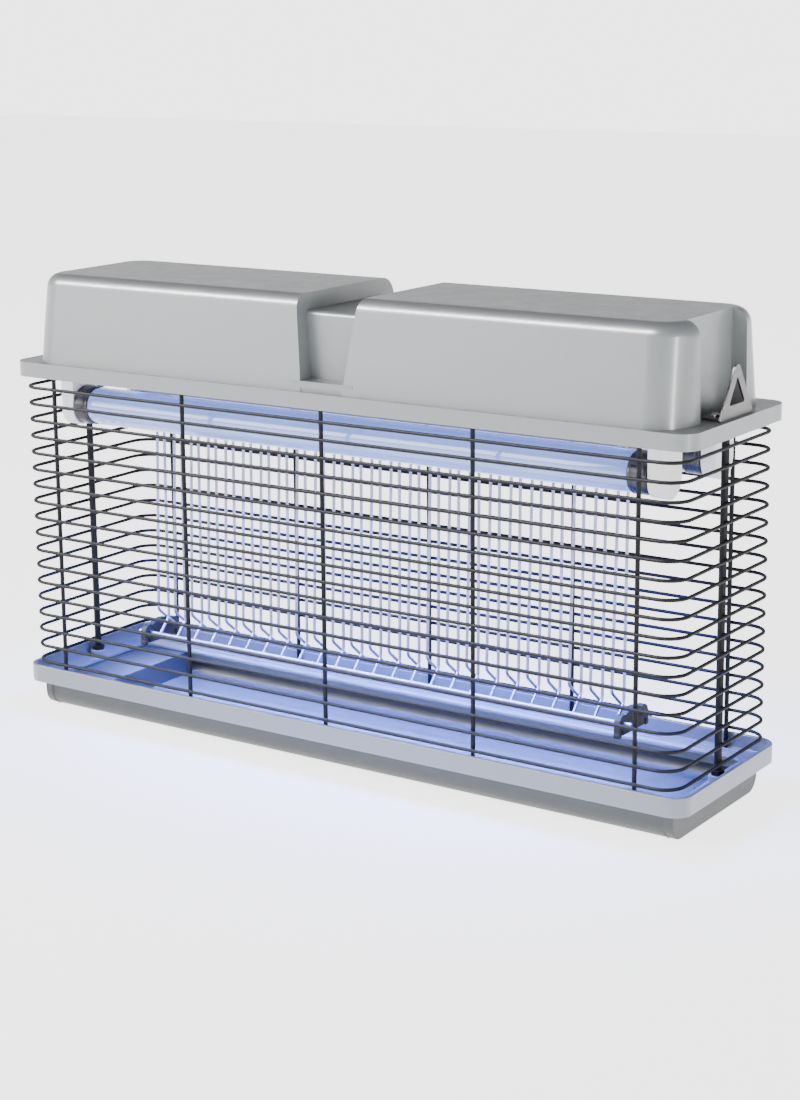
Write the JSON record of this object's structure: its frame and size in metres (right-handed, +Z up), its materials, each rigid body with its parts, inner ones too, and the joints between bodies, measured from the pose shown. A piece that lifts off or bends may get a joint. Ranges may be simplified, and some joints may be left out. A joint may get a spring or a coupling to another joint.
{
  "type": "electric bug zapper",
  "caption": "Hanging electric insect killer: moulded top housing, black wire guard, two UV tubes, a high-voltage wire grid and a slide-out collecting tray.",
  "frame": {"origin": "middle of the collecting tray's underside, which the object stands on", "axes": "+X to the right end, where the tray slides out; -Y front; +Z up"},
  "size_m": [0.512, 0.13, 0.3035],
  "materials": {
    "housing_abs": "satin, fine moulded grain",
    "tray_abs": "satin",
    "zinc_plate": "zinc plated sheet",
    "bright_steel": "bright stamped",
    "guard_coat": "satin black powder coat",
    "holder_white": "satin white",
    "rotor_ivory": "satin ivory",
    "tube_glass": "blacklight phosphor glass",
    "cap_aluminium": "spun",
    "brass": "bright",
    "grid_wire": "bright drawn wire",
    "black_plastic": "satin black",
    "ballast_paint": "dark grey varnish",
    "coil_wrap": "amber insulating wrap",
    "lead_cover": "insulated wire"
  },
  "bodies": {
    "main": {"top_housing": "housing_abs", "base_rim": "housing_abs", "chassis_plate": "zinc_plate", "ballast_screws": "zinc_plate", "transformer_screws": "zinc_plate", "terminal_screws": "zinc_plate", "lampholder_screws": "zinc_plate", "hanging_bracket_left": "bright_steel", "hanging_bracket_right": "bright_steel", "housing_screws": "bright_steel", "bracket_screws": "bright_steel", "post_nuts": "bright_steel", "guard_rings": "guard_coat", "guard_bars": "guard_coat", "post_left": "guard_coat", "post_right": "guard_coat", "lampholder_front_left": "holder_white", "lampholder_front_right": "holder_white", "lampholder_rear_left": "holder_white", "lampholder_rear_right": "holder_white", "starter_sockets": "holder_white", "terminal_block": "holder_white", "grid_hanger_left": "rotor_ivory", "grid_hanger_right": "rotor_ivory", "starters": "cap_aluminium", "live_rails": "grid_wire", "live_wires": "grid_wire", "return_rails": "grid_wire", "return_wires": "grid_wire", "grid_spacer_left": "black_plastic", "grid_spacer_right": "black_plastic", "cord_gland": "black_plastic", "gland_nut": "black_plastic", "ballast_front": "ballast_paint", "ballast_rear": "ballast_paint", "transformer_core": "ballast_paint", "transformer_coil": "coil_wrap", "internal_wiring": "lead_cover"},
    "tray": {"collecting_tray": "tray_abs"},
    "tube_front": {"tube_glass_front": "tube_glass", "tube_caps_front": "cap_aluminium", "tube_pins_front": "brass", "rotors_front": "rotor_ivory"},
    "tube_rear": {"tube_glass_rear": "tube_glass", "tube_caps_rear": "cap_aluminium", "tube_pins_rear": "brass", "rotors_rear": "rotor_ivory"}
  },
  "joints": [
    {"name": "tray_slide", "type": "slide", "parent": "main", "child": "tray", "axis": [1, 0, 0], "range_m": [0, 0.42]},
    {"name": "tube_front_twist", "type": "hinge", "parent": "main", "child": "tube_front", "pos_m": [0, -0.0337, 0.2137], "axis": [1, 0, 0], "range_deg": [0, 90]},
    {"name": "tube_rear_twist", "type": "hinge", "parent": "main", "child": "tube_rear", "pos_m": [0, 0.0337, 0.2137], "axis": [1, 0, 0], "range_deg": [0, 90]}
  ]
}
